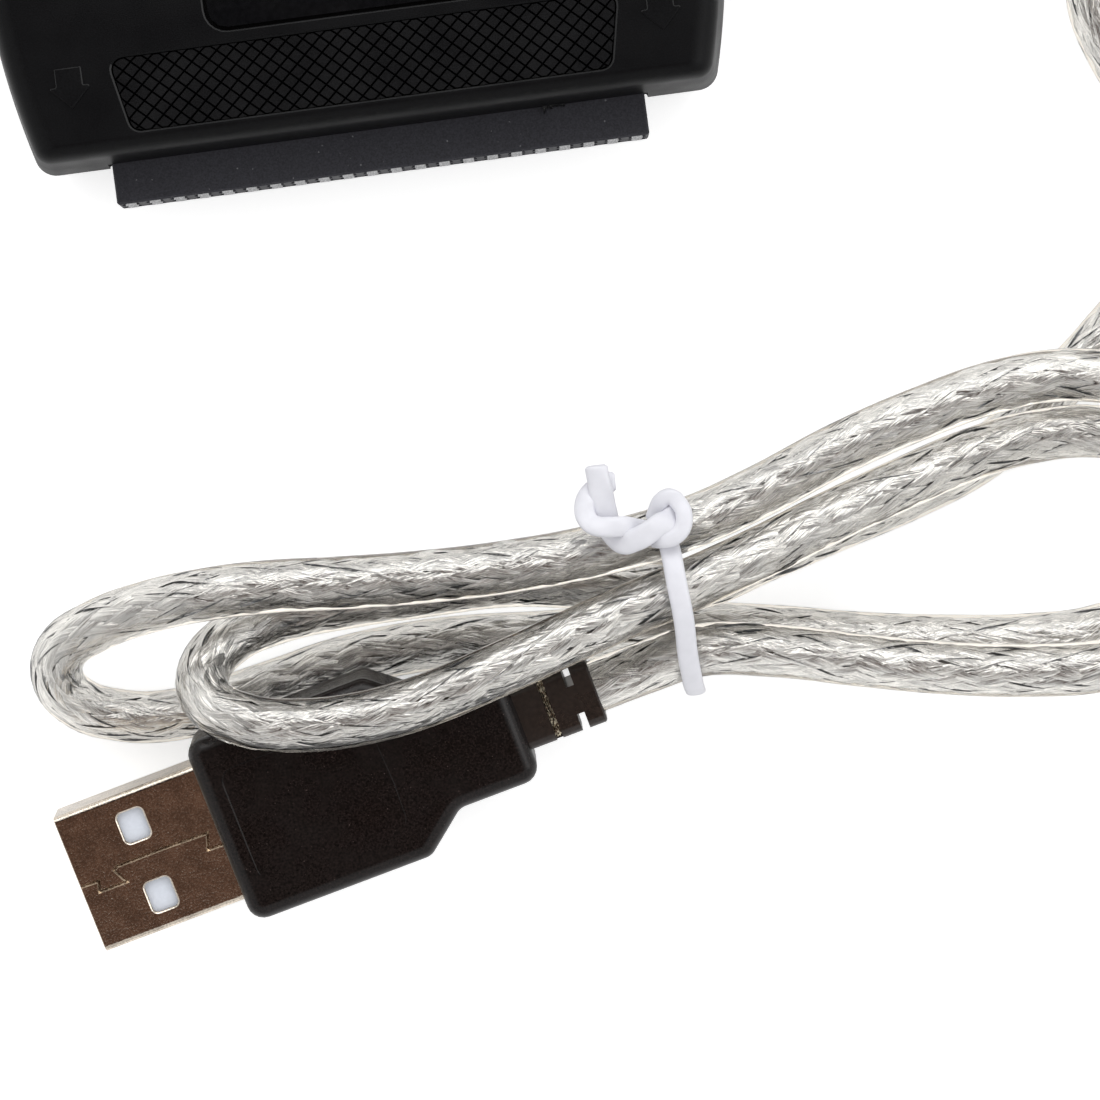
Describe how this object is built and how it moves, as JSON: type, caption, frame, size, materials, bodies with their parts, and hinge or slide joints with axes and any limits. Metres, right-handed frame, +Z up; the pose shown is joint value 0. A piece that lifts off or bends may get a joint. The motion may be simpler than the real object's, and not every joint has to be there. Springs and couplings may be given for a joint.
{
  "type": "usb to sata and ide drive adapter",
  "caption": "Palm-sized drive adapter: a black case with two pin-strip sockets and a SATA port, and a tied clear-jacketed USB cable with its plug.",
  "frame": {"origin": "on the surface it lies on, under the middle of the case", "axes": "+X towards the side where the cable leaves, -Y towards the front with the 44-pin socket, +Z up"},
  "size_m": [0.1037, 0.1055, 0.0158],
  "materials": {
    "case_plastic": "fine grained black",
    "label_plastic": "glossy black",
    "socket_plastic": "matt slate black",
    "board": "green solder mask",
    "chip_plastic": "moulded black",
    "can_metal": "drawn can",
    "screw_steel": "plated",
    "contact_metal": "gold plated",
    "cable_jacket": "clear jacket over a silver braid",
    "plug_plastic": "smooth black",
    "plug_metal": "bright plated shell",
    "insulator_plastic": "white",
    "tie_plastic": "white coated wire",
    "wire_red": "insulated wire",
    "wire_white": "insulated wire",
    "wire_green": "insulated wire",
    "wire_black": "insulated wire"
  },
  "bodies": {
    "root": {"top_shell": "case_plastic", "bottom_shell": "case_plastic", "label_plate": "label_plastic", "front_44_pin_socket": "socket_plastic", "back_40_pin_socket": "socket_plastic", "sata_port": "socket_plastic", "sata_contact_1": "contact_metal", "sata_contact_2": "contact_metal", "sata_contact_3": "contact_metal", "sata_contact_4": "contact_metal", "sata_contact_5": "contact_metal", "sata_contact_6": "contact_metal", "sata_contact_7": "contact_metal", "circuit_board": "board", "bridge_chip": "chip_plastic", "drive_buffer_chip": "chip_plastic", "memory_chip": "chip_plastic", "regulator_chip": "chip_plastic", "clock_crystal": "can_metal", "input_capacitor": "can_metal", "output_capacitor": "can_metal", "left_screw": "screw_steel", "right_screw": "screw_steel", "power_wire": "wire_red", "data_minus_wire": "wire_white", "data_plus_wire": "wire_green", "ground_wire": "wire_black", "cable_sleeve": "plug_plastic", "usb_cable": "cable_jacket", "twist_tie": "tie_plastic", "plug_overmould": "plug_plastic", "plug_shell": "plug_metal", "plug_insulator": "insulator_plastic", "plug_contact_1": "contact_metal", "plug_contact_2": "contact_metal", "plug_contact_3": "contact_metal", "plug_contact_4": "contact_metal"}
  },
  "joints": []
}
